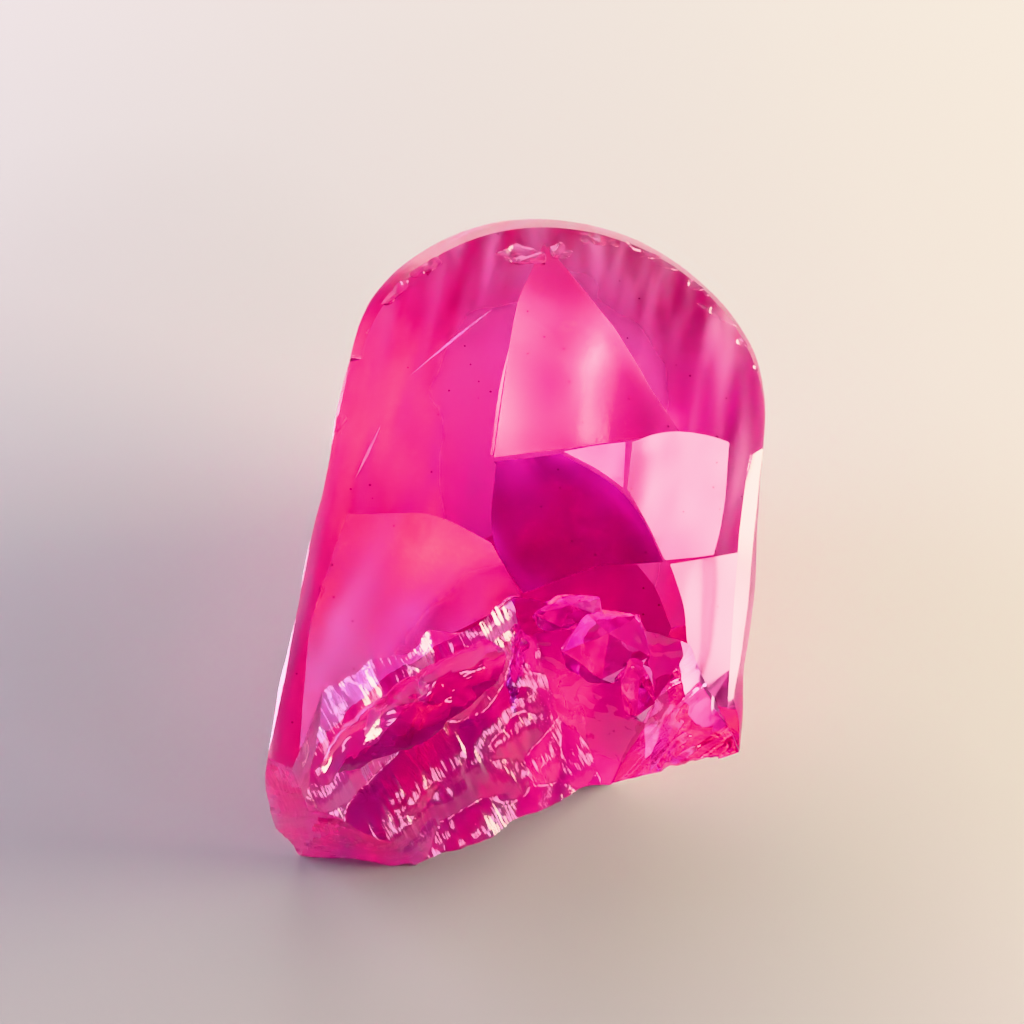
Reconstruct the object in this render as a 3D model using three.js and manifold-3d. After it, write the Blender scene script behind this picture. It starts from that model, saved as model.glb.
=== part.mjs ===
// A rough pink zircon: the half of a round, domed crystal that was split along its length.
// It lies on its back. The split face looks up and leans towards -Y, the dome points to +Y,
// and the end at -Y is broken off in shell-shaped scoops. Millimetres, +Z up.

import * as THREE from 'three';
import { mergeVertices } from 'three/addons/utils/BufferGeometryUtils.js';
import Module from 'manifold-3d';

// ---------------------------------------------------------------- driving dimensions

// The round crystal before it was split. It widens a little from the dome to the broken end.
const DOME_RADIUS = 9.55;
const END_RADIUS = 9.95;
const DOME_LENGTH = 10.3;
const DOME_START = 4.8;
const BARREL_LENGTH = 24;
const SIDES = 72;
const DOME_RINGS = 12;

// How the half lies: the split face is raised at the dome end and lower on the right.
const FACE_PITCH_DEG = 15;
const FACE_ROLL_DEG = 10;
const FACE_HEIGHT = 9.1;
const AXIS_X = 1.55;
const AXIS_DRIFT = 0.017;

// The worn shoulder round the dome end of the split face.
const SHOULDER_RADIUS = 9.3;
const SHOULDER_SLOPE = 0.95;
const SHOULDER_X = 1.75;
const SHOULDER_Y = 4.5;

// The broken end: flat cleavage faces, each by a point on it and the way it looks.
const FRONT = { point: [0, -14.45, 0], faces: [0, -1, 0] };
const MAIN_BREAK = { point: [-1.8, -14.25, 0], faces: [0.487, -0.645, 0.589] };
const MIDDLE_BREAK = { point: [1.2, -5.1, 7.5], faces: [0, -0.886, 0.463] };
const RIGHT_BREAK = { point: [8.4, -5.8, 6.1], faces: [-0.569, -0.586, 0.577] };
const LEFT_HORN = { point: [-6.6, -14.2, 6.8], faces: [0.955, -0.255, 0.147] };
const UNDERCUT = { point: [5.5, -9, 0], faces: [0.609, -0.118, -0.784] };

// Shell-shaped scoops: centre, half-sizes, the way each looks and the way its length runs.
const SCOOPS = [
  { at: [-2.1, -10.6, 6.1], half: [6.4, 1.9, 2], faces: MAIN_BREAK.faces, along: [0.705, 0.705, 0.065] },
  { at: [5.1, -6.3, 5.5], half: [2, 1.8, 2], faces: MIDDLE_BREAK.faces, along: [1, 0, 0] },
];

// Chips along the rim of the split face, given in the same way.
const RIM_CHIPS = [
  { at: [-1.2, 13.9, 13.4], half: [2.2, 0.9, 0.8], faces: [0, 0.5, 1], along: [1, 0.1, 0] },
  { at: [6.2, 13.5, 12.1], half: [2, 0.9, 0.7], faces: [0.3, 0.4, 1], along: [1, -0.6, 0] },
  { at: [10, 9.6, 10.3], half: [1.5, 0.8, 0.7], faces: [0.6, 0.2, 1], along: [0.5, -1, 0] },
  { at: [-6.6, 9.4, 12.9], half: [1.9, 0.8, 0.7], faces: [-0.5, 0.3, 1], along: [0.7, 1, 0] },
];

// How finely the hollows are faceted.
const HOLLOW_SEGMENTS = 28;
const HOLLOW_RINGS = 18;

// The block that stands for everything beyond a flat face, and how near two points count as one.
const BLOCK = 80;
const WELD = 1e-4;

const COLOUR = 0xe22a84;

// ---------------------------------------------------------------- booleans

const wasm = await Module();
wasm.setup();

function toSolid(geometry) {
  const bare = geometry.clone();
  bare.deleteAttribute('normal');
  bare.deleteAttribute('uv');
  const merged = mergeVertices(bare, WELD);
  const vertProperties = new Float32Array(merged.attributes.position.array);
  const triVerts = new Uint32Array(merged.index.array);
  return new wasm.Manifold(new wasm.Mesh({ numProp: 3, vertProperties, triVerts }));
}

function toGeometry(solid) {
  const mesh = solid.getMesh();
  const geometry = new THREE.BufferGeometry();
  geometry.setAttribute('position', new THREE.BufferAttribute(mesh.vertProperties, 3));
  geometry.setIndex(new THREE.BufferAttribute(mesh.triVerts, 1));
  geometry.computeVertexNormals();
  return geometry;
}

// A block that fills everything on the side of a flat face that the face looks towards.
function beyond({ point, faces }) {
  const outward = new THREE.Vector3(...faces).normalize();
  const block = new THREE.BoxGeometry(BLOCK, BLOCK, BLOCK);
  const turn = new THREE.Quaternion().setFromUnitVectors(new THREE.Vector3(0, 0, 1), outward);
  block.applyQuaternion(turn);
  const centre = new THREE.Vector3(...point).addScaledVector(outward, BLOCK / 2);
  block.translate(centre.x, centre.y, centre.z);
  return toSolid(block);
}

// A rounded hollow that opens the way it faces, with its length along the surface.
function scoop({ at, half, faces, along }) {
  const out = new THREE.Vector3(...faces).normalize();
  const length = new THREE.Vector3(...along).projectOnPlane(out).normalize();
  const width = new THREE.Vector3().crossVectors(out, length);
  const bowl = new THREE.SphereGeometry(1, HOLLOW_SEGMENTS, HOLLOW_RINGS);
  bowl.scale(...half);
  bowl.applyMatrix4(new THREE.Matrix4().makeBasis(length, width, out).setPosition(...at));
  return toSolid(bowl);
}

// ---------------------------------------------------------------- the split face's own axes

const rise = Math.tan(THREE.MathUtils.degToRad(FACE_PITCH_DEG));
const fall = Math.tan(THREE.MathUtils.degToRad(FACE_ROLL_DEG));
const faceNormal = new THREE.Vector3(fall, -rise, 1).normalize();
const alongFace = new THREE.Vector3(AXIS_DRIFT, 1, rise - fall * AXIS_DRIFT).normalize();
const acrossFace = new THREE.Vector3().crossVectors(alongFace, faceNormal);

function faceHeightAt(x, y) {
  return FACE_HEIGHT - fall * x + rise * y;
}

function lieOnFace(geometry, x, y) {
  const place = new THREE.Matrix4().makeBasis(acrossFace, alongFace, faceNormal);
  place.setPosition(x, y, faceHeightAt(x, y));
  return geometry.applyMatrix4(place);
}

// ---------------------------------------------------------------- the shapes

// The whole crystal: a straight round barrel with a domed end, turned about its length.
function roundCrystal() {
  const profile = [new THREE.Vector2(0, -BARREL_LENGTH), new THREE.Vector2(END_RADIUS, -BARREL_LENGTH)];
  for (let ring = 0; ring < DOME_RINGS; ring += 1) {
    const angle = (ring / DOME_RINGS) * (Math.PI / 2);
    const radius = DOME_RADIUS * Math.cos(angle);
    profile.push(new THREE.Vector2(radius, DOME_LENGTH * Math.sin(angle)));
  }
  profile.push(new THREE.Vector2(0, DOME_LENGTH));
  return toSolid(lieOnFace(new THREE.LatheGeometry(profile, SIDES), AXIS_X, DOME_START));
}

// A cone that flares away below the face: what it leaves is the sloping shoulder.
// It reaches only the dome, so the barrel's straight sides keep their sharp edges.
function shoulderCone() {
  const depth = DOME_RADIUS * 2;
  const widest = SHOULDER_RADIUS + SHOULDER_SLOPE * depth;
  const cone = new THREE.CylinderGeometry(SHOULDER_RADIUS, widest, depth, SIDES);
  cone.rotateX(Math.PI / 2);
  cone.translate(0, 0, -depth / 2);
  const dome = toSolid(lieOnFace(cone, SHOULDER_X, SHOULDER_Y));
  return dome.add(beyond({ point: [0, SHOULDER_Y, 0], faces: [0, -1, 0] }));
}

function buildZircon() {
  const splitFace = { point: [0, 0, FACE_HEIGHT], faces: faceNormal.toArray() };
  const restFace = { point: [0, 0, 0], faces: [0, 0, -1] };
  const leftOfNotch = beyond(MAIN_BREAK).intersect(beyond(LEFT_HORN));
  const notch = leftOfNotch.intersect(beyond(MIDDLE_BREAK)).intersect(beyond(RIGHT_BREAK));
  let body = roundCrystal().subtract(beyond(splitFace));
  body = body.intersect(shoulderCone());
  body = body.subtract(beyond(FRONT)).subtract(beyond(UNDERCUT)).subtract(notch);
  for (const hollow of [...SCOOPS, ...RIM_CHIPS]) {
    body = body.subtract(scoop(hollow));
  }
  return toGeometry(body.subtract(beyond(restFace)));
}

// ---------------------------------------------------------------- the part

// The origin goes to the middle of the stone's box, on the surface that it lies on.
function centreOnFloor(geometry) {
  geometry.computeBoundingBox();
  const middle = geometry.boundingBox.getCenter(new THREE.Vector3());
  return geometry.translate(-middle.x, -middle.y, -geometry.boundingBox.min.z);
}

const zirconMaterial = new THREE.MeshStandardMaterial({
  color: COLOUR,
  roughness: 0.12,
  metalness: 0,
  transparent: true,
  opacity: 0.6,
});

const zircon = new THREE.Mesh(centreOnFloor(buildZircon()), zirconMaterial);
zircon.name = 'zircon';

const part = new THREE.Group();
part.add(zircon);

export default part;
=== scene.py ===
# %% [markdown]
# # A rough pink zircon
# The stone is half of a round, domed crystal that split along its length. It lies on its back: the smooth
# split face looks up, the dome points away, and the near end is broken off in glassy, feathered scoops.
# Light comes in low from behind and from the right, runs through the pink body, and is turned back by the
# cracks inside it. The frame is loaded first, because it says where the stone stands and how big it may
# be.

# %% Load the frame
import math

import bpy
from mathutils import Matrix, Vector


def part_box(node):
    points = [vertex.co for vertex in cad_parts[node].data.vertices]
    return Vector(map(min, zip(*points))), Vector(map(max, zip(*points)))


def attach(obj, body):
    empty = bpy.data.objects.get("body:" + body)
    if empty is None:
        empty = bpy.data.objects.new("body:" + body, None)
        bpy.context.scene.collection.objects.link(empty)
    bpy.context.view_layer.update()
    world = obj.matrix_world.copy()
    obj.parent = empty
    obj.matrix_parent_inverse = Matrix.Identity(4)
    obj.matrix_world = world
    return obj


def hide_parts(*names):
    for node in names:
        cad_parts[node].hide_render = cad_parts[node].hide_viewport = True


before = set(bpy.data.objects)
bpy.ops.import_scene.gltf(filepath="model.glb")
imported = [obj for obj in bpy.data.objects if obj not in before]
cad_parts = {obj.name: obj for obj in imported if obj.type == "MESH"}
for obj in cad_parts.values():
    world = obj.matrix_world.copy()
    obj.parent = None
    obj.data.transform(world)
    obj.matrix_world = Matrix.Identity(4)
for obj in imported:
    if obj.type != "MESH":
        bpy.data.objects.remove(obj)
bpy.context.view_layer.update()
stone_low, stone_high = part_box("zircon")
print("frame nodes:", sorted(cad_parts))

# %% [markdown]
# ## The bench
# Cutting glassy shapes needs clean booleans, and those like numbers near 1. So the stone is made with 1
# unit = 1 mm, and it is shrunk to metres once it is finished. The helpers below are the tools used again
# and again: pick one piece, apply a modifier, fix its place, cut or join it, and turn something to face a
# direction.

# %% Bench helpers
MM = 0.001


def only(piece):
    bpy.ops.object.select_all(action="DESELECT")
    piece.select_set(True)
    bpy.context.view_layer.objects.active = piece


def apply_modifier(piece, kind, **settings):
    only(piece)
    modifier = piece.modifiers.new(kind.title(), kind)
    for name, value in settings.items():
        setattr(modifier, name, value)
    bpy.ops.object.modifier_apply(modifier=modifier.name)


def fix_place(piece):
    only(piece)
    bpy.ops.object.transform_apply(location=True, rotation=True, scale=True)


def cut(body, tool, operation="DIFFERENCE"):
    apply_modifier(body, "BOOLEAN", operation=operation, object=tool, solver="MANIFOLD")
    bpy.data.objects.remove(tool)


def turned_to(faces, along=(1, 0, 0)):
    """A turn that takes +Z to `faces` and +X as near to `along` as it can."""
    out = Vector(faces).normalized()
    length = Vector(along)
    length = (length - out * length.dot(out)).normalized()
    return Matrix((length, out.cross(length), out)).transposed()


def put(piece, name, at, turn, size=(1, 1, 1)):
    piece.name = name
    piece.matrix_world = Matrix.Translation(at) @ turn.to_4x4() @ Matrix.Diagonal((*size, 1))
    fix_place(piece)
    return piece


def report(piece, what):
    print(f"{what}: {len(piece.data.vertices)} points, {len(piece.data.polygons)} faces")


# %% [markdown]
# Every cutting tool carries the name of the surface it leaves behind, as a slot number. Booleans keep
# these numbers, so at the end each surface can be given its own polish. All tools carry the same list of
# slots, because a boolean shifts the numbers of a tool whose list differs.

# %% Surfaces
SKIN, SHOULDER, SPLIT, HACKLE, GLASSY, CHIP, CRACK, VEIL, REST = SURFACES = range(9)


def tag(piece, surface):
    piece.data.materials.clear()
    for slot in SURFACES:
        name = f"surface {slot}"
        piece.data.materials.append(bpy.data.materials.get(name) or bpy.data.materials.new(name))
    for polygon in piece.data.polygons:
        polygon.material_index = surface
    return piece


# %% [markdown]
# Nothing on a rough crystal is quite flat. `wave` moves a surface by a procedural cloud, and `ribs` does
# the same with the cloud drawn out along one direction, which gives the fine feathered ribs of a glassy
# break.

# %% Waves and ribs
RIB_DETAIL = 1


def wave(piece, height, size, hard=False, detail=0, coords=None):
    cloud = bpy.data.textures.new("cloud", "CLOUDS")
    cloud.noise_scale = size
    cloud.noise_depth = detail
    cloud.noise_type = "HARD_NOISE" if hard else "SOFT_NOISE"
    where = {"texture_coords": "GLOBAL"}
    if coords:
        where = {"texture_coords": "OBJECT", "texture_coords_object": coords}
    apply_modifier(piece, "DISPLACE", texture=cloud, strength=height, mid_level=0.5, **where)


def ribs(piece, at, faces, along, spacing, length, height):
    bpy.ops.object.empty_add()
    guide = bpy.context.object
    turn = turned_to(faces, along).to_4x4()
    guide.matrix_world = Matrix.Translation(at) @ turn @ Matrix.Diagonal((length, spacing, length, 1))
    wave(piece, height, size=1, hard=True, detail=RIB_DETAIL, coords=guide)
    bpy.data.objects.remove(guide)


# %% [markdown]
# ## The round crystal
# A crystal grown as a rod with a domed end. It starts as a ball: a finely divided cube blown up into a
# sphere has even faces and no pole. Half of it is cut away, it is stretched to the dome's length, and the
# open rim is drawn out ring by ring into the barrel, which widens a little towards the near end.

# %% Round crystal
BALL_CUTS = 47
DOME_RADIUS = 9.55
END_RADIUS = 9.95
DOME_LENGTH = 10.3
BARREL_LENGTH = 24
RINGS = 53

bpy.ops.object.select_all(action="DESELECT")
bpy.ops.mesh.primitive_cube_add(size=2)
stone = bpy.context.object
bpy.ops.object.mode_set(mode="EDIT")
bpy.ops.mesh.subdivide(number_cuts=BALL_CUTS)
bpy.ops.object.mode_set(mode="OBJECT")
apply_modifier(stone, "CAST", cast_type="SPHERE", factor=1, radius=0, size=1, use_radius_as_size=False)
bpy.ops.object.mode_set(mode="EDIT")
bpy.ops.mesh.select_all(action="SELECT")
bpy.ops.mesh.bisect(plane_co=(0, 0, 0), plane_no=(0, -1, 0), clear_outer=True)
bpy.ops.object.mode_set(mode="OBJECT")
stone.scale = (DOME_RADIUS, DOME_LENGTH, DOME_RADIUS)
fix_place(stone)
bpy.ops.object.mode_set(mode="EDIT")
bpy.ops.mesh.select_all(action="DESELECT")
bpy.ops.mesh.select_non_manifold()
widen = (END_RADIUS / DOME_RADIUS) ** (1 / RINGS)
for ring in range(RINGS):
    bpy.ops.mesh.extrude_region_move(TRANSFORM_OT_translate={"value": (0, -BARREL_LENGTH / RINGS, 0)})
    bpy.ops.transform.resize(value=(widen, 1, widen))
bpy.ops.mesh.edge_face_add()
bpy.ops.object.mode_set(mode="OBJECT")
report(stone, "round crystal")

# %% [markdown]
# The rod lies so that its split face rises 15 degrees away from the viewer and falls 10 degrees to the
# right. The whole rod follows the face, so it is turned and lowered into place here. Two slow waves keep
# the skin from looking turned on a lathe.

# %% Lay the crystal down
FACE_PITCH_DEG = 15
FACE_ROLL_DEG = 10
FACE_HEIGHT = 9.1
AXIS_X = 1.55
AXIS_DRIFT = 0.017
DOME_START = 4.8

rise = math.tan(math.radians(FACE_PITCH_DEG))
fall = math.tan(math.radians(FACE_ROLL_DEG))
face_normal = Vector((fall, -rise, 1)).normalized()
along_face = Vector((AXIS_DRIFT, 1, rise - fall * AXIS_DRIFT)).normalized()
face_turn = Matrix((along_face.cross(face_normal), along_face, face_normal)).transposed()


def on_face(x, y):
    return Vector((x, y, FACE_HEIGHT - fall * x + rise * y))


put(stone, "zircon_stone", on_face(AXIS_X, DOME_START), face_turn)
tag(stone, SKIN)
wave(stone, height=0.5, size=5)
wave(stone, height=0.08, size=1.6)
report(stone, "laid down")

# %% [markdown]
# ## Cutting blocks
# Each large surface of the stone is the near side of a block that is taken away. A block starts as a flat
# grid at the surface, gets its waves and ribs, and is then pushed outwards into a solid. Where fine ribs
# are wanted, the grid is divided again around the middle: `fine` is how far out, and into how many cuts.

# %% Cutting blocks
REACH = 24


def block(name, at, faces, surface, size=44, step=0.5, shape=None, fine=None):
    cells = round(size / step)
    bpy.ops.object.select_all(action="DESELECT")
    bpy.ops.mesh.primitive_grid_add(x_subdivisions=cells, y_subdivisions=cells, size=size)
    piece = put(bpy.context.object, name, at, turned_to(faces))
    if fine:
        radius, cuts = fine
        bpy.ops.object.mode_set(mode="EDIT")
        bpy.ops.mesh.select_mode(type="FACE")
        bpy.ops.mesh.select_all(action="DESELECT")
        bpy.ops.object.mode_set(mode="OBJECT")
        for polygon in piece.data.polygons:
            polygon.select = (polygon.center - Vector(at)).length < radius
        bpy.ops.object.mode_set(mode="EDIT")
        bpy.ops.mesh.subdivide(number_cuts=cuts)
        bpy.ops.object.mode_set(mode="OBJECT")
    if shape:
        shape(piece)
    bpy.ops.object.mode_set(mode="EDIT")
    bpy.ops.mesh.select_all(action="SELECT")
    bpy.ops.mesh.extrude_region_move(TRANSFORM_OT_translate={"value": Vector(faces).normalized() * REACH})
    bpy.ops.mesh.select_all(action="SELECT")
    bpy.ops.mesh.normals_make_consistent(inside=False)
    bpy.ops.object.mode_set(mode="OBJECT")
    return tag(piece, surface)


# %% [markdown]
# ## The split face
# The rod split lengthwise along an almost flat, gently rolling surface. It is the window through which
# everything inside the stone is seen, so it is the smoothest surface of all.

# %% Split face
def gentle(piece):
    wave(piece, height=0.45, size=7)
    wave(piece, height=0.03, size=1.5)


face_at = (0, 0, FACE_HEIGHT)
cut(stone, block("split face", face_at, face_normal, SPLIT, size=50, step=0.45, shape=gentle))
report(stone, "split")

# %% [markdown]
# ## The shoulder
# Around the dome the rim of the split face is bevelled by a cone, which leaves the sloping band behind
# the rim. Along the straight barrel there is no bevel, so the cone is joined with a block that keeps the
# barrel whole.

# %% Shoulder
SHOULDER_RADIUS = 9.3
SHOULDER_SLOPE = 0.95
SHOULDER_X = 1.75
SHOULDER_Y = 4.5
CONE_SIDES = 160
CONE_ABOVE = 2
CONE_BELOW = 2 * DOME_RADIUS
BARREL_SIDE_HEIGHT = 10

bpy.ops.object.select_all(action="DESELECT")
bpy.ops.mesh.primitive_cone_add(
    vertices=CONE_SIDES,
    radius1=SHOULDER_RADIUS + SHOULDER_SLOPE * CONE_BELOW,
    radius2=SHOULDER_RADIUS - SHOULDER_SLOPE * CONE_ABOVE,
    depth=CONE_BELOW + CONE_ABOVE,
)
middle = on_face(SHOULDER_X, SHOULDER_Y) + face_normal * (CONE_ABOVE - CONE_BELOW) / 2
cone = tag(put(bpy.context.object, "shoulder cone", middle, face_turn), SHOULDER)
keeper_at = (0, SHOULDER_Y, BARREL_SIDE_HEIGHT)
keeper = block("barrel side", keeper_at, (0, -1, 0), SHOULDER, size=80, step=8)
cut(cone, keeper, "UNION")
cut(stone, cone, "INTERSECT")
report(stone, "shoulder")

# %% [markdown]
# The left rim of the barrel is worn too, by a much narrower bevel. A bevel modifier would give it the
# same width all along, so it is cut with a flat block that just grazes the rim. It is only a few tenths
# of a millimetre wide, it comes and goes with the waves of the skin, and it catches the light as a thin
# bright line.

# %% Worn left rim
LEFT_RIM = (-8.31, -4.5)
LEFT_RIM_FACES = (-0.66, -0.17, 0.73)
WEAR = 0.15

rim_at = on_face(*LEFT_RIM) - Vector(LEFT_RIM_FACES) * WEAR
cut(stone, block("left rim", rim_at, LEFT_RIM_FACES, SHOULDER, size=46, step=2))
report(stone, "left rim")

# %% [markdown]
# ## The broken end
# The near end snapped off. One long break runs from the bottom left to the right, two smaller ones meet
# it under the middle and the right, a narrow one closes it on the left, and the right corner is undercut.
# The break is glassy: long feathered ribs run down the left lobe, and the smaller facets are calmer and
# clearer.

# %% Broken end
FRONT = (0, -1, 0)
MAIN_BREAK = (0.487, -0.645, 0.589)
MIDDLE_BREAK = (0, -0.886, 0.463)
RIGHT_BREAK = (-0.569, -0.586, 0.577)
LEFT_HORN = (0.955, -0.255, 0.147)
UNDERCUT = (0.609, -0.118, -0.784)

FRONT_AT = (-6, -14.45, 3)
MAIN_AT = (-1, -11.5, 2.35)
MIDDLE_AT = (3.5, -6.2, 5.4)
RIGHT_AT = (8.2, -7, 4.7)
HORN_AT = (-7, -14.5, 5)
UNDERCUT_AT = (5.5, -9, 0)

FRONT_RUN = (1, 0, -0.25)
MAIN_RUN = (0.47, -0.38, -0.8)
RIGHT_RUN = (0.6, 0.1, 0.7)


def feathered(piece):
    wave(piece, height=0.5, size=4, hard=True)
    wave(piece, height=0.14, size=1.5, hard=True)
    ribs(piece, MAIN_AT, MAIN_BREAK, MAIN_RUN, spacing=0.8, length=4, height=0.08)
    ribs(piece, MAIN_AT, MAIN_BREAK, MAIN_RUN, spacing=0.3, length=2.2, height=0.07)


def front_skin(piece):
    wave(piece, height=0.5, size=2.5, hard=True)
    ribs(piece, FRONT_AT, FRONT, FRONT_RUN, spacing=0.4, length=2.5, height=0.16)


def calm(piece):
    wave(piece, height=0.5, size=4)
    wave(piece, height=0.05, size=0.6, hard=True)


def combed(piece):
    wave(piece, height=0.35, size=3)
    ribs(piece, RIGHT_AT, RIGHT_BREAK, RIGHT_RUN, spacing=0.5, length=2.5, height=0.08)


# %% [markdown]
# The front and the undercut are plain cuts. The other four faces meet in hollow corners, and cutting them
# one after another would take too much away. So the main block is first cut down to what it shares with
# its three neighbours, and this one notch, with all four faces on it, is taken out of the stone.

# %% Snap the near end off
cut(stone, block("front", FRONT_AT, FRONT, HACKLE, size=40, shape=front_skin, fine=(6, 3)))
cut(stone, block("undercut", UNDERCUT_AT, UNDERCUT, GLASSY, size=40))

middle_break = block("middle break", MIDDLE_AT, MIDDLE_BREAK, GLASSY, shape=calm, fine=(5.5, 3))
right_break = block("right break", RIGHT_AT, RIGHT_BREAK, GLASSY, shape=combed, fine=(5.5, 3))
left_horn = block("left horn", HORN_AT, LEFT_HORN, GLASSY, shape=calm, fine=(4, 3))
notch = block("main break", MAIN_AT, MAIN_BREAK, HACKLE, shape=feathered, fine=(9.5, 5))
for neighbour in (middle_break, right_break, left_horn):
    cut(notch, neighbour, "INTERSECT")
cut(stone, notch)
report(stone, "broken end")

# %% [markdown]
# ## Scoops and chips
# A glassy break is full of shell-shaped hollows. Each one is an egg-shaped bite with a lumpy floor, and
# is cut with a stretched ball that was waved first. The largest hollows the break along the edge of the
# split face.

# %% Scoops
EDGE_RUN = (0.705, 0.705, 0.065)
LOWER_EDGE_RUN = (0.77, -0.14, 0.62)
LOWER_EDGE_FACES = (0, -0.95, -0.1)
SEAM_RUN = (-0.06, -0.5, -0.86)


def lumpy(piece):
    wave(piece, height=0.35, size=2, hard=True)
    wave(piece, height=0.08, size=0.7, hard=True)


def nicked(piece):
    wave(piece, height=0.3, size=0.7, hard=True)


def hackled(piece):
    wave(piece, height=0.3, size=0.45, hard=True)


def scoop(name, at, half, faces, along, shape, rings, surface=CHIP):
    bpy.ops.object.select_all(action="DESELECT")
    bpy.ops.mesh.primitive_uv_sphere_add(segments=rings * 2, ring_count=rings)
    piece = put(bpy.context.object, name, at, turned_to(faces, along), half)
    shape(piece)
    cut(stone, tag(piece, surface))


scoop("left scoop", (-2.1, -10.6, 6.1), (6.4, 1.9, 2), MAIN_BREAK, EDGE_RUN, lumpy, 80, GLASSY)
report(stone, "left scoop")

# %% [markdown]
# Where the break stepped from plane to plane, it left flat-sided pits. A round scoop would look too soft
# there, so these start from a twenty-sided ball, whose flat sides stay after it is divided and waved.

# %% Flat-sided pits
PIT_CUTS = 10
PITS = {
    "middle pit": ((4.9, -6.1, 5.8), (2.3, 1.9, 1.9), (1, 0.3, 0.2)),
    "upper pit": ((3.2, -5.2, 6.9), (1.8, 0.9, 1.1), (1, -0.3, 0.4)),
    "deep pit": ((6.4, -6.6, 3.9), (0.9, 1.7, 1.2), (1, 0, 0.2)),
}


def stepped(piece):
    wave(piece, height=0.15, size=1)
    wave(piece, height=0.04, size=0.4, hard=True)


def flat_bite(name, at, half, faces, along, shape, cuts, surface):
    bpy.ops.object.select_all(action="DESELECT")
    bpy.ops.mesh.primitive_ico_sphere_add(subdivisions=1, radius=1)
    piece = put(bpy.context.object, name, at, turned_to(faces, along), half)
    bpy.ops.object.mode_set(mode="EDIT")
    bpy.ops.mesh.select_all(action="SELECT")
    bpy.ops.mesh.subdivide(number_cuts=cuts)
    bpy.ops.object.mode_set(mode="OBJECT")
    shape(piece)
    cut(stone, tag(piece, surface))


for name, (at, half, along) in PITS.items():
    flat_bite(name, at, half, MIDDLE_BREAK, along, stepped, PIT_CUTS, GLASSY)
report(stone, "pitted")

# %% [markdown]
# Two more scoops are long and thin. One nicks the lower edge of the right corner, and the other leaves
# the hackled seam where the left lobe meets the middle break.

# %% Thin scoops
scoop("lower edge chip", (8.6, -9.6, 2.5), (2.2, 0.35, 0.4), LOWER_EDGE_FACES, LOWER_EDGE_RUN, nicked, 32)
scoop("seam", (1.1, -6.6, 5.5), (2.6, 0.4, 0.45), MIDDLE_BREAK, SEAM_RUN, hackled, 40, HACKLE)
report(stone, "scooped")

# %% [markdown]
# A glassy crystal chips most easily along a sharp rim, so small angular bites follow the rim of the split
# face all round the dome. They are made like the pits, only smaller. Each chip in the list has its place
# on the face, its half sizes and the way that its length runs.

# %% Rim chips
CHIP_CUTS = 6
CHIP_LIFT = 0.15
RIM_CHIPS = [
    ((-0.9, 11.5), (1.5, 0.7, 0.6), (1, 0.1, 0)),
    ((0.8, 12.2), (0.8, 0.5, 0.5), (1, -0.3, 0)),
    ((2.7, 13.3), (1.3, 0.5, 0.5), (1, -0.1, 0)),
    ((5, 13.1), (1.5, 0.6, 0.5), (1, -0.3, 0)),
    ((7.4, 12), (1, 0.5, 0.5), (1, -0.7, 0)),
    ((8.7, 10.6), (1.7, 0.45, 0.5), (1, -0.4, 0)),
    ((10.5, 8.2), (0.9, 0.4, 0.4), (0.4, -1, 0)),
    ((-5, 9.9), (1, 0.5, 0.45), (0.8, 0.7, 0)),
    ((-6.4, 8.2), (1.3, 0.5, 0.5), (0.6, 0.9, 0)),
    ((-7.5, 5.6), (0.8, 0.3, 0.3), (0.3, 1, 0)),
    ((-7.8, 1), (0.8, 0.3, 0.3), (0, 1, 0)),
    ((1.8, 13), (0.6, 0.4, 0.35), (1, 0.4, 0)),
    ((3.9, 13.5), (0.6, 0.35, 0.3), (1, -0.5, 0)),
    ((6.3, 12.8), (0.6, 0.4, 0.4), (1, 0.2, 0)),
    ((9.7, 9.6), (0.7, 0.4, 0.4), (1, -0.9, 0)),
    ((11, 6.9), (0.6, 0.3, 0.35), (0.1, -1, 0)),
]

for (x, y), half, along in RIM_CHIPS:
    chip_at = on_face(x, y) + face_normal * CHIP_LIFT
    flat_bite("rim chip", chip_at, half, face_normal, along, nicked, CHIP_CUTS, CHIP)
report(stone, "rim chipped")

# %% [markdown]
# ## The cracks inside
# The stone is full of healed cracks. Each is a thin gap, and light that meets it at a slant is turned
# back completely, so a crack looks like a bright or a dark mirror with crisp edges. The edges show on the
# split face as lines, so the lines are measured there in mm, and every crack hangs below its lines,
# slanting down and back. The upper crack has a left and a right edge that meet at the top. The crossing
# runs below it to the right rim. The arc leaves the crossing and bends down to the right corner, and the
# sill runs from the right rim over the arc and under the oval.

# %% Crack lines on the split face
UPPER_LEFT_EDGE = [(-0.8, 9.3), (-0.9, 7.7), (-0.9, 4.6), (-0.9, 1.2)]
UPPER_RIGHT_EDGE = [(7.3, 4.5), (5.7, 6.4), (3.9, 8.7), (1.5, 11.1), (0, 12.4)]
CROSSING_LEFT = [(-0.9, 1.1), (0.6, 1.6), (1.9, 2.1)]
CROSSING_MIDDLE = [(2.1, 2.2), (3.6, 2.9), (4.8, 3.4)]
CROSSING_RIGHT = [(5.1, 3.4), (6.2, 4.1), (7.5, 4.5), (9.3, 4.5), (11.1, 3.8)]
ARC_TOP = [(1.9, 2.1), (3.7, 1.5), (5.1, 0.7), (6.2, -0.6), (7, -2.1)]
ARC_INNER = [(7.1, -2), (6.2, -0.4), (5.1, 1.1)]
ARC_END = [(7.3, -2.1), (8.1, -4), (8.5, -5.8), (9.6, -7.9), (11, -9.8)]
SILL_LEFT = [(7, -2.1), (5.6, -2.6), (4.2, -3.1), (1.3, -5)]
SILL_RIGHT = [(10.8, -0.7), (9, -1.5), (7.2, -2.1)]
LEFT_CRACK_TOP = [(-6.9, -2.9), (-4.6, -2.3), (-2.9, -2.1), (-0.5, -2.8)]
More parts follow.
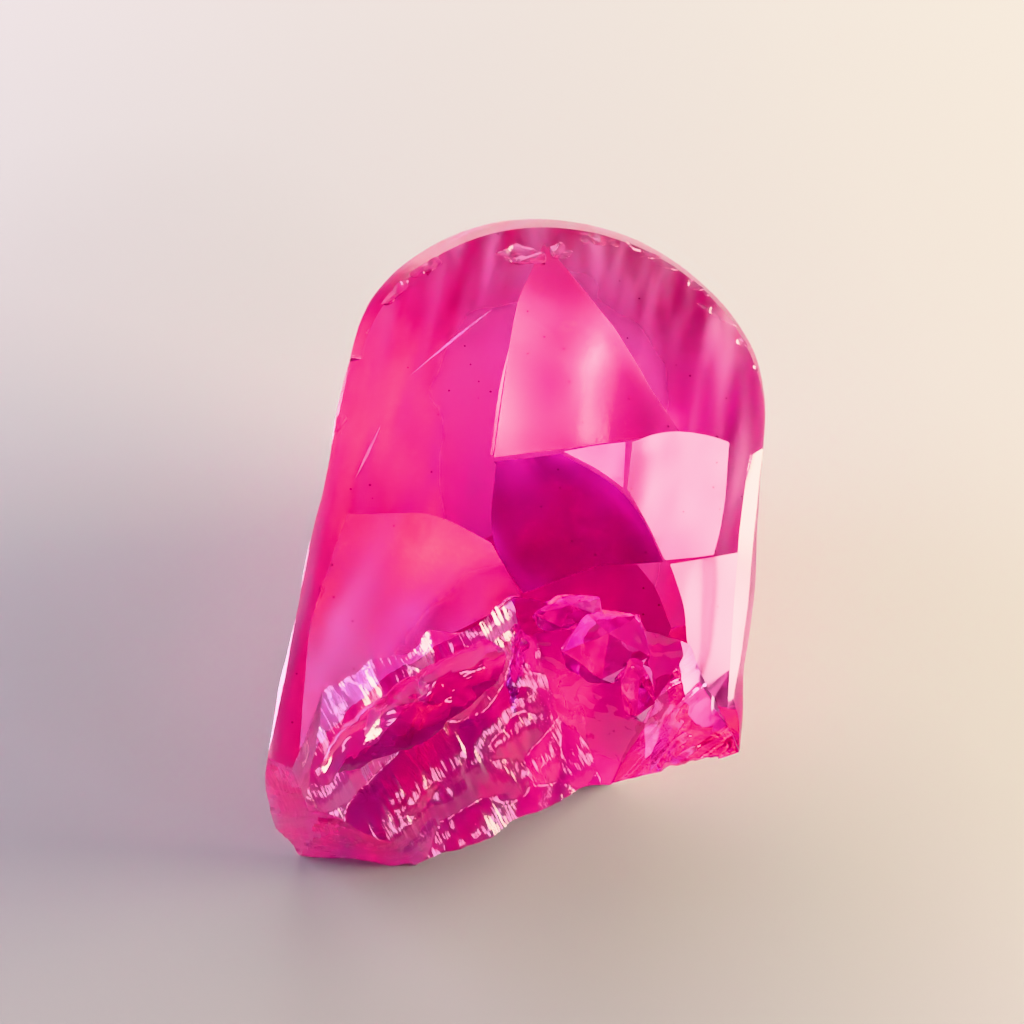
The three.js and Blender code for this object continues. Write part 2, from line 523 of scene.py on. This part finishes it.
OVAL_LEFT_EDGE = [(1.3, -5), (-0.1, -3.3), (-0.6, -1.7), (-0.8, 1)]
BREAK_EDGE = [(1.1, -5), (-1.4, -7.2), (-3.7, -9), (-5.7, -11.2), (-7.4, -13.8)]
LEFT_CRACK_SIDE = [(-7.4, -13.8), (-7.7, -9), (-7.7, -5.2), (-6.9, -2.9)]
CRACK_RUN = Vector((-0.12, 0.48, -0.87))


def smooth_line(line, steps=6):
    """A curve through all the points of a line."""
    points = []
    for i in range(len(line) - 1):
        a, b, c, d = (Vector(line[min(max(j, 0), len(line) - 1)]) for j in (i - 1, i, i + 1, i + 2))
        for k in range(steps):
            f = k / steps
            bend = (2 * a - 5 * b + 4 * c - d) * f**2 + (3 * b - a - 3 * c + d) * f**3
            points.append((2 * b + (c - a) * f + bend) / 2)
    return points + [Vector(line[-1])]


# %% [markdown]
# A crack starts as a flat sheet that faces the way that turns the light best. It gets a slight dome, or a
# bowl where the dome is below zero, a gentle roll and a thickness of a twentieth of a millimetre. Then it
# is trimmed by a prism that stands on its lines, and what is left is cut out of the stone as a gap. The
# prism's first face has dozens of corners, so its points are written directly.

# %% Crack maker
SHEET_SIZE = 24
SHEET_CELLS = 36
PRISM_START = 2
PRISM_LENGTH = 26
GAP = 0.05
ROLL_HEIGHT = 0.12
ROLL_SIZE = 2.5


def prism_on(lines):
    outline = [on_face(*point) - CRACK_RUN * PRISM_START for line in lines for point in smooth_line(line)]
    mesh = bpy.data.meshes.new("outline")
    mesh.from_pydata(outline, [], [range(len(outline))])
    prism = bpy.data.objects.new("outline", mesh)
    bpy.context.scene.collection.objects.link(prism)
    only(prism)
    bpy.ops.object.mode_set(mode="EDIT")
    bpy.ops.mesh.select_all(action="SELECT")
    bpy.ops.mesh.extrude_region_move(TRANSFORM_OT_translate={"value": CRACK_RUN * PRISM_LENGTH})
    bpy.ops.mesh.select_all(action="SELECT")
    bpy.ops.mesh.quads_convert_to_tris()
    bpy.ops.mesh.normals_make_consistent(inside=False)
    bpy.ops.object.mode_set(mode="OBJECT")
    return prism


def crack(name, lines, faces, under, depth, dome=0, surface=CRACK):
    """A gap below the loop of `lines`, facing `faces`, that passes `depth` mm below the point `under`."""
    bpy.ops.object.select_all(action="DESELECT")
    bpy.ops.mesh.primitive_grid_add(x_subdivisions=SHEET_CELLS, y_subdivisions=SHEET_CELLS, size=SHEET_SIZE)
    sheet = bpy.context.object
    for vertex in sheet.data.vertices:
        vertex.co.z = -dome * vertex.co.xy.length_squared / 2
    put(sheet, name, on_face(*under) + CRACK_RUN * depth, turned_to(faces))
    wave(sheet, ROLL_HEIGHT, ROLL_SIZE)
    apply_modifier(sheet, "SOLIDIFY", thickness=GAP, offset=0)
    cut(sheet, prism_on(lines), "INTERSECT")
    cut(stone, tag(sheet, surface))
    report(stone, name)


# %% [markdown]
# The cracks on the right turn the light of the low right lamp towards the eye, and are nearly white. The
# upper one is a shallow bowl, which keeps it close under the face, and it fades from pale to pink. The
# oval in the middle faces the dim front left, so it stays dark, and the left one lies flat and turns back
# the soft glow of the skin.

# %% Cracks
RIGHT_SIDE = [(11.1, 3.8), (11.8, -0.2)]
UPPER_RIGHT = [CROSSING_RIGHT, RIGHT_SIDE, SILL_RIGHT, ARC_INNER]
crack("upper right crack", UPPER_RIGHT, (0.69, -0.26, 0.67), under=(5.1, 3.3), depth=0.85, dome=0.03)

SMALL_SIDE = [(4.8, 3.4), (4.9, 1.1)]
SMALL_FOOT = [(4.9, 1.1), (3.7, 1.7), (2.1, 2.2)]
SMALL = [CROSSING_MIDDLE, SMALL_SIDE, SMALL_FOOT]
crack("small crack", SMALL, (0.4, 0.385, 0.83), under=(2.1, 2.2), depth=0.5)

LOWER_TOP = [(7.3, -2.1), (8.9, -1.5), (11.6, -0.4)]
LOWER_SIDE = [(11.6, -0.4), (11.9, -5.3), (11.6, -9.8)]
LOWER_RIGHT = [LOWER_TOP, LOWER_SIDE, ARC_END[::-1]]
crack("lower right crack", LOWER_RIGHT, (0.7, -0.28, 0.66), under=(8.1, -3.9), depth=0.75, dome=0.03)

EDGE_OUTER = [(10.3, 3.9), (11.9, 3.6), (11.9, -9.8)]
EDGE_INNER = [(11.9, -9.8), (10.7, -9.8), (10.3, -5), (10.2, 0)]
EDGE_FACES = (0.77, -0.27, 0.58)
crack("edge crack", [EDGE_OUTER, EDGE_INNER], EDGE_FACES, under=(10.2, 0), depth=0.4)

UPPER_FOOT = [(7.3, 4.6), (4.7, 3.5), (1.9, 2.3), (-0.9, 1.2)]
UPPER = [UPPER_LEFT_EDGE[::-1], UPPER_RIGHT_EDGE[:0:-1], UPPER_FOOT]
crack("upper crack", UPPER, (0.725, -0.045, 0.69), under=(-0.9, 1.2), depth=0.75, dome=-0.024)

OVAL = [CROSSING_LEFT, ARC_TOP, SILL_LEFT, OVAL_LEFT_EDGE]
crack("dark crack", OVAL, (-0.554, -0.575, 0.602), under=(6.2, -0.5), depth=0.65)

LEFT = [LEFT_CRACK_TOP, [(-0.5, -2.8), (1.1, -5)], BREAK_EDGE, LEFT_CRACK_SIDE]
crack("left crack", LEFT, (-0.32, -0.05, 0.95), under=(-5, -6), depth=2.6, dome=0.03)

# %% [markdown]
# Four small ones are left: a pale flake behind the right break, a bright thin edge beside the upper
# crack, and two soft frosted streaks on the left.

# %% Small cracks
FLAKE = [[(7.4, -8.5), (8.1, -7.4), (8.9, -6.9)], [(8.9, -6.9), (9.9, -8.6)], [(9.9, -8.6), (7.5, -10.4)]]
crack("pale flake", FLAKE, (0.594, -0.41, 0.69), under=(7.4, -8.5), depth=3.4)

BRIGHT_RIGHT = [(-0.85, 7), (-0.95, 4.6), (-0.95, 1.3)]
BRIGHT_LEFT = [(-1.07, 1.3), (-1.07, 4.6), (-0.85, 7)]
crack("bright edge", [BRIGHT_RIGHT, BRIGHT_LEFT], EDGE_FACES, under=(-1, 4.6), depth=0.3)

STREAK_FACES = (-0.58, 0.1, 0.81)
STREAK = [[(-1.4, 9), (-3.3, 6.8), (-5.2, 4.2)], [(-5.2, 4.2), (-3.4, 6.5), (-1.4, 9)]]
crack("left streak", STREAK, STREAK_FACES, under=(-3.2, 6.6), depth=0.6, surface=VEIL)

WISP = [[(-6, 1.6), (-6.4, 0.2), (-6.7, -1.2)], [(-6.7, -1.2), (-6.25, 0.3), (-6, 1.6)]]
crack("left wisp", WISP, STREAK_FACES, under=(-6.3, 0.2), depth=0.6, surface=VEIL)

# %% [markdown]
# ## The resting flat
# The stone stands on a flat that was ground or cleaved off its back. This cut comes last, so every crack
# and break that reaches the bottom ends cleanly there. Cuts this close can leave crumbs of two or three
# faces, so the stone is taken apart into its loose parts, the crumbs are thrown away, and the rest is
# joined again.

# %% Resting flat
cut(stone, block("rest", (0, 0, 0), (0, 0, -1), REST))
report(stone, "rested")

# %% Sweep away crumbs
FEWEST_FACES = 20

only(stone)
bpy.ops.mesh.separate(type="LOOSE")
loose = sorted(bpy.context.selected_objects, key=lambda part: -len(part.data.polygons))
crumbs = [part for part in loose if len(part.data.polygons) < FEWEST_FACES]
bodies = [part for part in loose if part not in crumbs]
for crumb in crumbs:
    bpy.data.objects.remove(crumb)
stone = bodies[0]
for part in bodies[1:]:
    bpy.ops.object.select_all(action="DESELECT")
    part.select_set(True)
    stone.select_set(True)
    bpy.context.view_layer.objects.active = stone
    bpy.ops.object.join()
stone.name = "zircon_stone"
print("crumbs thrown away:", len(crumbs), "inner gaps kept:", len(bodies) - 1)
report(stone, "swept")

# %% [markdown]
# ## To the frame
# The finished stone is shrunk to metres and moved so that its box stands in the middle of its place in
# the frame. Edges sharper than 22 degrees stay crisp, so flat facets and curved skin meet as they do on a
# real break.

# %% To the frame
CRISP_DEG = 22

stone.scale = (MM, MM, MM)
fix_place(stone)
low = [min(v.co[i] for v in stone.data.vertices) for i in range(3)]
high = [max(v.co[i] for v in stone.data.vertices) for i in range(3)]
middle = [(a + b) / 2 for a, b in zip(low, high)]
goal = [(a + b) / 2 for a, b in zip(stone_low, stone_high)]
stone.location = (goal[0] - middle[0], goal[1] - middle[1], -low[2])
print("moved by mm", [round(c / MM, 3) for c in stone.location])
print("size in mm", [round((b - a) / MM, 2) for a, b in zip(low, high)])
fix_place(stone)
bpy.ops.object.shade_smooth_by_angle(angle=math.radians(CRISP_DEG))

# %% [markdown]
# ## One crystal, many surfaces
# All of it is one clear crystal, so it is one material, and light can pass from any surface to any other.
# What differs is how each surface was made: the grown skin is frosted, the split face is almost polished,
# and the break is feathered. These numbers are written onto the faces as attributes, which the material
# reads: frost is the roughness, grain says how much the skin's streaks change it, feather is the fringe
# of the ribs, dust the specks that lie on the face, and the last one is painted cool light, a pale blue
# tint on the faces of the break.

# %% Finish of each surface
TRAITS = ("frost", "grain", "feather", "dust", "painted_cool_light")
FINISH = {
    SKIN: {"frost": 0.55, "grain": 0.12},
    SHOULDER: {"frost": 0.15, "grain": 0.03},
    SPLIT: {"frost": 0.03, "dust": 1},
    # The break's faces (HACKLE and GLASSY) get painted cool light: a pale blue tint in their base colour.
    HACKLE: {"frost": 0.15, "feather": 1, "painted_cool_light": 1},
    GLASSY: {"frost": 0.05, "feather": 0.15, "painted_cool_light": 0.7},
    CHIP: {"frost": 0.2, "feather": 0.3},
    CRACK: {"frost": 0.2},
    VEIL: {"frost": 0.6},
    REST: {"frost": 0.5, "grain": 0.12},
}
surface_of = [polygon.material_index for polygon in stone.data.polygons]
for name in TRAITS:
    values = stone.data.attributes.new(name, "FLOAT", "FACE")
    values.data.foreach_set("value", [FINISH[surface].get(name, 0) for surface in surface_of])
for polygon in stone.data.polygons:
    polygon.material_index = 0
stone.data.materials.clear()
print("faces of each surface:", [surface_of.count(surface) for surface in SURFACES])


# %% [markdown]
# ## Two helpers for materials
# Colours are written as hex codes, which describe how a colour looks on a screen. Blender reckons with
# light, so one function turns a code into amounts of light. The other adds a node with its settings and
# its links.

# %% Colour and node helpers
def linear(code):
    parts = [int(code[i : i + 2], 16) / 255 for i in (1, 3, 5)]
    return (*(c / 12.92 if c <= 0.04045 else ((c + 0.055) / 1.055) ** 2.4 for c in parts), 1)


def node(tree, kind, inputs=None, **settings):
    new = tree.nodes.new(kind)
    for name, value in settings.items():
        setattr(new, name, value)
    for name, value in (inputs or {}).items():
        if isinstance(value, bpy.types.NodeSocket):
            tree.links.new(value, new.inputs[name])
        else:
            new.inputs[name].default_value = value
    return new


# %% [markdown]
# ## Clear pink zircon, grown, split and broken
# Zircon bends light strongly, with an index of about 1.95, so its faces flash and its cracks mirror. The
# pink is in the body: green is swallowed within a few millimetres and blue more slowly, so thin places
# look pale and thick ones magenta. A volume shader does that, with the same colour and density
# everywhere.

# %% Crystal patterns
crystal = bpy.data.materials.new("clear pink zircon, grown, split and broken")
crystal.use_nodes = True
tree = crystal.node_tree
tree.nodes.clear()
place = node(tree, "ShaderNodeTexCoord").outputs["Object"]
frost, grain, feather, dust, painted_cool_light = (
    node(tree, "ShaderNodeAttribute", attribute_name=name).outputs["Fac"] for name in TRAITS
)
print("read from the faces:", ", ".join(TRAITS))

# %% [markdown]
# The skin grew in long soft streaks, about 7 mm long and 1 mm wide, some clearer and some more frosted.
# They are a noise whose coordinates are drawn out along the rod.

# %% Frosted streaks
STREAK_SIZE = (7 * MM, 1.1 * MM, 7 * MM)
STREAK_CONTRAST = 10

lie = {"Vector": place, "Rotation": turned_to(face_normal, along_face).to_euler(), "Scale": STREAK_SIZE}
along_rod = node(tree, "ShaderNodeMapping", lie, vector_type="TEXTURE").outputs["Vector"]
streaks = node(tree, "ShaderNodeTexNoise", {"Vector": along_rod, "Scale": 1, "Detail": 1}).outputs["Fac"]
sway = node(tree, "ShaderNodeMath", {0: streaks, 1: 0.5}, operation="SUBTRACT").outputs[0]
sway = node(tree, "ShaderNodeMath", {0: sway, 1: grain}, operation="MULTIPLY").outputs[0]
streaked = {0: sway, 1: STREAK_CONTRAST, 2: frost}
roughness = node(tree, "ShaderNodeMath", streaked, operation="MULTIPLY_ADD", use_clamp=True).outputs[0]
print("streaks in mm:", [round(size / MM, 2) for size in STREAK_SIZE])

# %% [markdown]
# The ribs of the break carry finer feathers that run down the lobe, 1.2 mm long and 0.14 mm wide. The
# ribs themselves are in the mesh. The feathers are too fine for it, so they are a bump that only adds a
# fringe to them.

# %% Feathers
FEATHER_SIZE = (1.2 * MM, 0.14 * MM, 1.2 * MM)
FEATHER_RELIEF = 0.055 * MM
FEATHER_STRENGTH = 0.7

lie = {"Vector": place, "Rotation": turned_to(MAIN_BREAK, MAIN_RUN).to_euler(), "Scale": FEATHER_SIZE}
along_ribs = node(tree, "ShaderNodeMapping", lie, vector_type="TEXTURE").outputs["Vector"]
fringe = node(tree, "ShaderNodeTexNoise", {"Vector": along_ribs, "Scale": 1, "Detail": 1}).outputs["Fac"]
relief = node(tree, "ShaderNodeMath", {0: fringe, 1: feather}, operation="MULTIPLY").outputs[0]
fringed = {"Height": relief, "Strength": FEATHER_STRENGTH, "Distance": FEATHER_RELIEF}
bump = node(tree, "ShaderNodeBump", fringed).outputs["Normal"]
print("feathers in mm:", [round(size / MM, 2) for size in FEATHER_SIZE])

# %% [markdown]
# A few dark specks of dust lie on the split face. They are the cores of cells 0.8 mm apart, and each is
# about a tenth of a millimetre wide, which a radius of 0.065 cells gives. The break gets painted cool
# light: its faces are tinted pale blue, a little less on the calm facets than on the feathered ones.

# %% Specks and painted cool light
SPECK_SPACING = 0.8 * MM
SPECK_RADIUS = 0.065
DUST_COLOUR = "#6B2038"
UNTINTED = "#FFFFFF"
PAINTED_COOL_LIGHT_TINT = "#C8E8FF"

cells = node(tree, "ShaderNodeTexVoronoi", {"Vector": place, "Scale": 1 / SPECK_SPACING}).outputs["Distance"]
speck = node(tree, "ShaderNodeMath", {0: cells, 1: SPECK_RADIUS}, operation="LESS_THAN").outputs[0]
dusty = node(tree, "ShaderNodeMath", {0: speck, 1: dust}, operation="MULTIPLY").outputs[0]
# Painted cool light: the break's faces are tinted pale blue, as if cool light fell on them.
tints = {"Factor": painted_cool_light, "A": linear(UNTINTED), "B": linear(PAINTED_COOL_LIGHT_TINT)}
with_painted_cool_light = node(tree, "ShaderNodeMix", tints, data_type="RGBA").outputs["Result"]
specks = {"Factor": dusty, "A": with_painted_cool_light, "B": linear(DUST_COLOUR)}
colour = node(tree, "ShaderNodeMix", specks, data_type="RGBA").outputs["Result"]
print("specks in mm:", round(2 * SPECK_RADIUS * SPECK_SPACING / MM, 2))

# %% [markdown]
# The surface shader lets all light through and bends it; the volume shader takes its share on the way.

# %% Crystal body
ZIRCON_IOR = 1.95
BODY_COLOUR = "#FD38E3"
BODY_DENSITY = 235

look = {"Base Color": colour, "Roughness": roughness, "Normal": bump}
look.update({"IOR": ZIRCON_IOR, "Transmission Weight": 1})
shader = node(tree, "ShaderNodeBsdfPrincipled", look).outputs["BSDF"]
body = {"Color": linear(BODY_COLOUR), "Density": BODY_DENSITY}
absorption = node(tree, "ShaderNodeVolumeAbsorption", body).outputs["Volume"]
node(tree, "ShaderNodeOutputMaterial", {"Surface": shader, "Volume": absorption})
stone.data.materials.append(crystal)
print("crystal material:", len(tree.nodes), "nodes")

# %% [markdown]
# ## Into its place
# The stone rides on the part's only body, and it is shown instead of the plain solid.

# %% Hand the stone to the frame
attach(stone, "root")
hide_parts("zircon")
print("stone in place:", [round(c / MM, 2) for c in stone.dimensions])

# %% [markdown]
# ## The floor
# A matte pale board, wide enough to fill every view. It is far rougher than the stone, so it only shows
# its shadow and the pink light that leaks out of it.

# %% Floor
FLOOR_SIZE = 4
BOARD_COLOUR = "#BCBCBC"
BOARD_ROUGHNESS = 0.8

bpy.ops.object.select_all(action="DESELECT")
bpy.ops.mesh.primitive_plane_add(size=FLOOR_SIZE)
floor = bpy.context.object
floor.name = "floor"
board = bpy.data.materials.new("matte painted board")
board.use_nodes = True
board.node_tree.nodes.clear()
paint = {"Base Color": linear(BOARD_COLOUR), "Roughness": BOARD_ROUGHNESS}
paint = node(board.node_tree, "ShaderNodeBsdfPrincipled", paint).outputs["BSDF"]
node(board.node_tree, "ShaderNodeOutputMaterial", {"Surface": paint})
floor.data.materials.append(board)
print("floor:", FLOOR_SIZE, "m wide")

# %% [markdown]
# ## The light
# A clear stone shows what stands around it. Four small softboxes stand low and close, so their light
# enters through the skin and is turned up by the cracks: a warm one on the right, a soft one behind, a
# cool one on the left, and a rosy one in front that puts glints on the break. A fifth, high behind, draws
# the rim. Straight above it is almost dark, because the split face would mirror anything there and look
# grey.

# %% Softboxes
WARM = "#FFEFD5"
SOFT = "#FFF7ED"
COOL = "#EBDFF8"
ROSY = "#FFD4F7"
AIM = Vector((0, 0, 0.006))


def softbox(name, place, size, watts, colour, aim=AIM):
    light = bpy.data.lights.new(name, "AREA")
    light.shape = "RECTANGLE"
    light.size, light.size_y = size
    light.energy = watts
    light.color = linear(colour)[:3]
    lamp = bpy.data.objects.new(name, light)
    bpy.context.scene.collection.objects.link(lamp)
    lamp.location = place
    lamp.rotation_mode = "QUATERNION"
    lamp.rotation_quaternion = (aim - Vector(place)).to_track_quat("-Z", "Y")
    lamp.visible_camera = False
    print(name, "softbox:", watts, "W")


softbox("right low", (0.12, 0.035, 0.022), size=(0.09, 0.04), watts=0.8, colour=WARM)
softbox("back low", (0, 0.16, 0.04), size=(0.16, 0.06), watts=0.35, colour=SOFT)
softbox("back high", (-0.05, 0.25, 0.28), size=(0.3, 0.25), watts=0.15, colour=SOFT)
softbox("left low", (-0.14, 0.025, 0.03), size=(0.1, 0.05), watts=0.42, colour=COOL)
softbox("front right", (0.12, -0.08, 0.05), size=(0.05, 0.03), watts=0.055, colour=ROSY)

# %% [markdown]
# The low softboxes leave the floor behind them dark. Four washes stand around the stone with their backs
# to it and look outwards and down, so the floor stays pale to the edge of every view and the stone gets
# none of their light.

# %% Floor washes
WASH_FROM = Vector((0.15, 0, 0.2))
WASH_TO = Vector((0.5, 0, 0))
WASH_SIZE = (0.12, 0.12)
WASH_WATTS = 0.8

for degrees in (45, 135, 225, 315):
    turn = Matrix.Rotation(math.radians(degrees), 3, "Z")
    softbox(f"wash {degrees}", turn @ WASH_FROM, WASH_SIZE, WASH_WATTS, SOFT, turn @ WASH_TO)

# %% [markdown]
# The room itself is almost dark. Light may bounce a dozen times inside the stone before it is given up,
# which the deep cracks need. The view transform keeps strong pinks pink where a plain one would clip them
# to lilac.

# %% Room and light paths
BOUNCES = 12
ROOM_COLOUR = "#F3F6FF"
ROOM_LIGHT = 0.01

room = bpy.data.worlds.new("studio")
room.use_nodes = True
room.node_tree.nodes.clear()
glow = {"Color": linear(ROOM_COLOUR), "Strength": ROOM_LIGHT}
glow = node(room.node_tree, "ShaderNodeBackground", glow).outputs["Background"]
node(room.node_tree, "ShaderNodeOutputWorld", {"Surface": glow})
bpy.context.scene.world = room
bpy.context.scene.view_settings.view_transform = "Khronos PBR Neutral"
bpy.context.scene.cycles.max_bounces = BOUNCES
bpy.context.scene.cycles.transmission_bounces = BOUNCES
bpy.context.scene.cycles.glossy_bounces = BOUNCES
print("room light:", ROOM_LIGHT, "bounces:", BOUNCES)

# %% [markdown]
# ## The camera
# It looks down at 47 degrees from the broken end, a little from the right, with a long lens, as one looks
# at a small stone on a table.

# %% Camera
LOOK_AT = Vector((-0.00115, -0.0003, 0.0075))
ELEVATION = math.radians(47)
AZIMUTH = math.radians(7)
DISTANCE = 0.1264
LENS_MM = 100
SENSOR_MM = 36
NEAREST = 0.001
FARTHEST = 10

level = math.cos(ELEVATION)
back = Vector((math.sin(AZIMUTH) * level, -math.cos(AZIMUTH) * level, math.sin(ELEVATION)))
lens = bpy.data.cameras.new("camera")
lens.lens = LENS_MM
lens.sensor_width = SENSOR_MM
lens.clip_start = NEAREST
lens.clip_end = FARTHEST
camera = bpy.data.objects.new("camera", lens)
bpy.context.scene.collection.objects.link(camera)
camera.location = LOOK_AT + back * DISTANCE
camera.rotation_mode = "QUATERNION"
camera.rotation_quaternion = (-back).to_track_quat("-Z", "Y")
bpy.context.scene.camera = camera
print("camera at", [round(c, 4) for c in camera.location])
